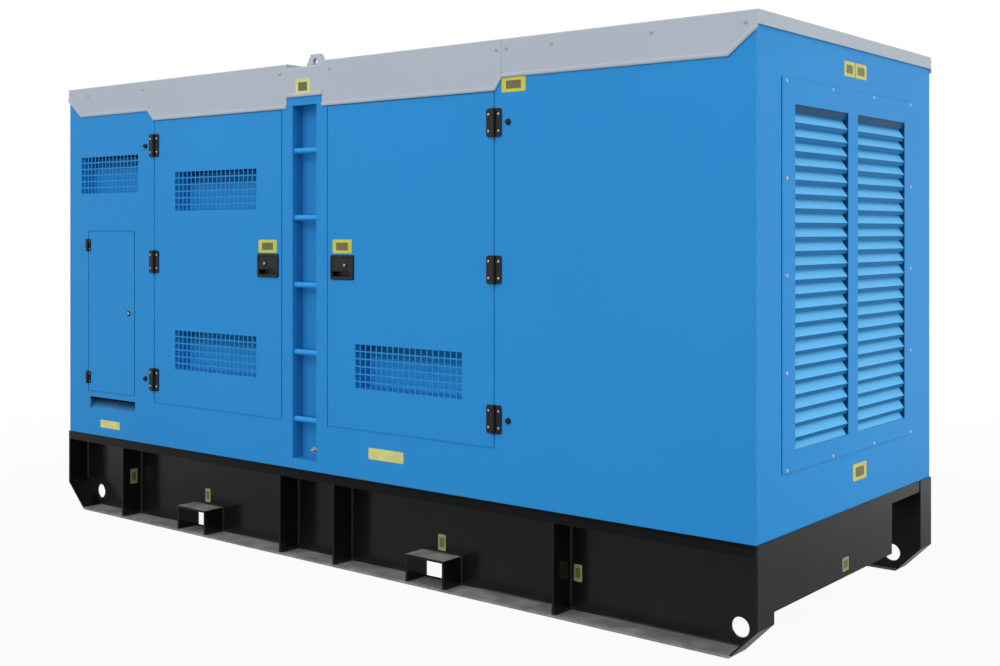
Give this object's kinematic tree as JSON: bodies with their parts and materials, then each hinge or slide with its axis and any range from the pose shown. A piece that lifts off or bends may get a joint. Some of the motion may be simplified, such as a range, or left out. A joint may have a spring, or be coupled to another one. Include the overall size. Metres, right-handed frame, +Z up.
{
  "type": "enclosed diesel generator set",
  "caption": "Sound-proofed generator canopy with hinged doors, ladder recesses, louvred radiator outlet and lifting plates on a welded skid with fork pockets.",
  "frame": {"origin": "on the floor under the middle of the skid, at the bottom centre of the whole set", "axes": "+X along the set to the radiator outlet, -Y to the side with the jointed doors, +Z up"},
  "size_m": [4.05, 1.621, 2.253],
  "materials": {
    "skid_paint": "satin",
    "canopy_paint": "satin",
    "roof_paint": "satin",
    "black_fittings": "satin",
    "buffer_rubber": "matte",
    "stud_metal": "satin"
  },
  "bodies": {
    "genset_body": {"skid_web_front": "skid_paint", "skid_web_rear": "skid_paint", "skid_top_chord_front": "skid_paint", "skid_top_chord_rear": "skid_paint", "skid_bottom_flange_front": "skid_paint", "skid_bottom_flange_rear": "skid_paint", "skid_ribs_front": "skid_paint", "skid_ribs_rear": "skid_paint", "fork_pockets_front": "skid_paint", "fork_pockets_rear": "skid_paint", "skid_corners": "skid_paint", "skid_end_right": "skid_paint", "skid_end_left": "skid_paint", "skid_cross_members": "skid_paint", "canopy_floor": "skid_paint", "bay_panel_front": "canopy_paint", "bay_panel_rear": "canopy_paint", "door_sills_front": "canopy_paint", "door_sills_rear": "canopy_paint", "door_heads_front": "canopy_paint", "door_heads_rear": "canopy_paint", "ladder_column_front": "canopy_paint", "ladder_column_rear": "canopy_paint", "ladder_rungs_front": "canopy_paint", "ladder_rungs_rear": "canopy_paint", "right_panel_front": "canopy_paint", "right_panel_rear": "canopy_paint", "end_wall_right": "canopy_paint", "end_wall_left": "canopy_paint", "louvre_panel": "canopy_paint", "louvre_blades": "canopy_paint", "roof_left": "roof_paint", "roof_bridge": "roof_paint", "roof_middle": "roof_paint", "roof_right": "roof_paint", "lifting_plates": "roof_paint", "earth_studs": "stud_metal", "bay_vent_front": "canopy_paint", "bay_vent_rear": "canopy_paint", "fixed_hinges_front": "black_fittings", "fixed_hinges_rear": "black_fittings", "door_buffers": "buffer_rubber", "rear_doors": "canopy_paint", "rear_door_vents": "canopy_paint", "rear_door_fittings": "black_fittings"},
    "front_left_door": {"front_left_door": "canopy_paint", "front_left_door_vents": "canopy_paint", "front_left_door_fittings": "black_fittings"},
    "front_right_door": {"front_right_door": "canopy_paint", "front_right_door_vents": "canopy_paint", "front_right_door_fittings": "black_fittings"},
    "access_door": {"access_door": "canopy_paint", "access_door_fittings": "black_fittings"}
  },
  "joints": [
    {"name": "front_left_door_hinge", "type": "hinge", "parent": "genset_body", "child": "front_left_door", "pos_m": [-1.2875, -0.8015, 1.309], "axis": [0, 0, -1], "range_deg": [0, 120]},
    {"name": "front_right_door_hinge", "type": "hinge", "parent": "genset_body", "child": "front_right_door", "pos_m": [0.8835, -0.8015, 1.309], "axis": [0, 0, 1], "range_deg": [0, 120]},
    {"name": "access_door_hinge", "type": "hinge", "parent": "genset_body", "child": "access_door", "pos_m": [-1.8505, -0.799, 1.043], "axis": [0, 0, -1], "range_deg": [0, 120]}
  ]
}
